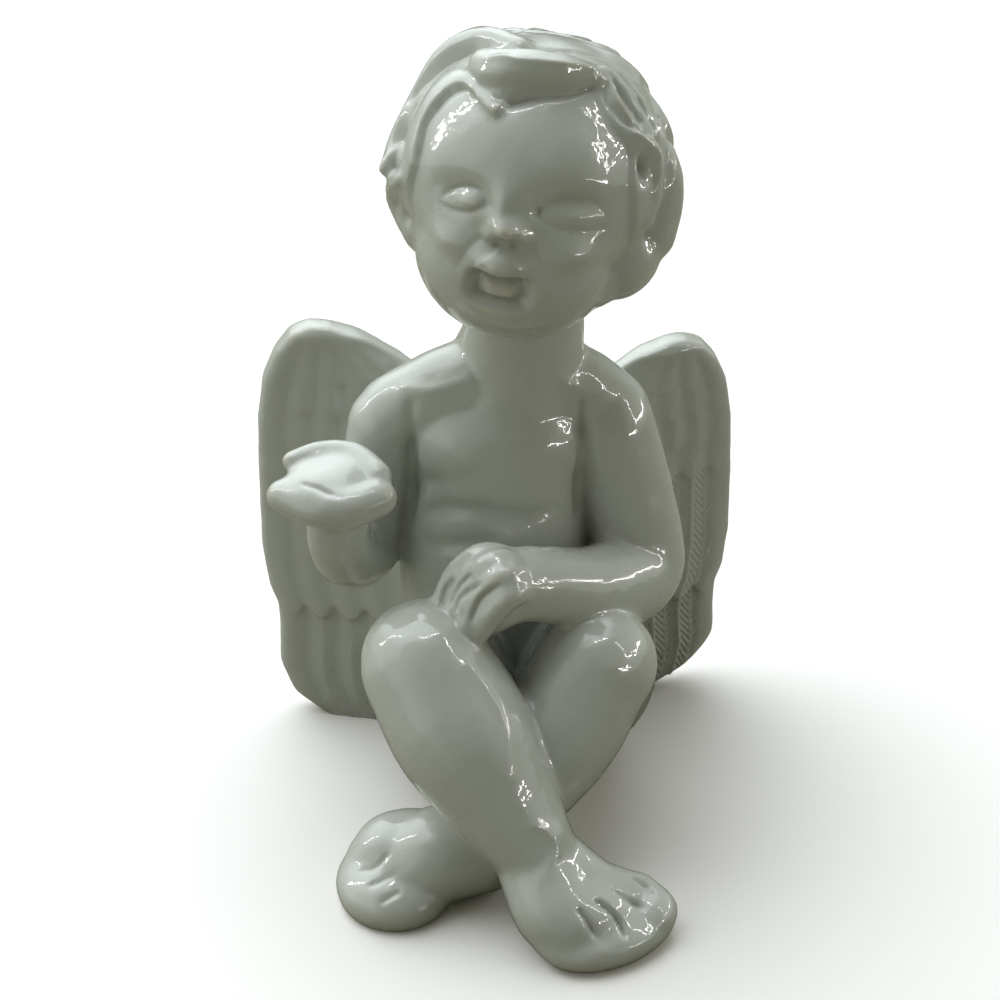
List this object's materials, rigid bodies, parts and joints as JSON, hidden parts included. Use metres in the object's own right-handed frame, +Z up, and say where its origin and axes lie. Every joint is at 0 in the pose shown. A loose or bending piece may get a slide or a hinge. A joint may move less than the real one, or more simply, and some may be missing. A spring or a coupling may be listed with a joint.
{
  "type": "cherub figurine",
  "caption": "Small glazed porcelain cherub, seated with crossed ankles and standing wings, one palm held open and the other arm resting across the knee.",
  "frame": {"origin": "on the ground under the seat, in the flat underside that the seat, the feet and the wings share", "axes": "+X towards the figure's left, which is the right of a picture from the front; -Y the way the figure faces; +Z up"},
  "size_m": [0.0736, 0.0718, 0.1133],
  "materials": {
    "glaze": "glossy clear glaze over a grey-white body, unglazed and matt underneath"
  },
  "bodies": {
    "root": {"cherub_figurine": "glaze"}
  },
  "joints": []
}
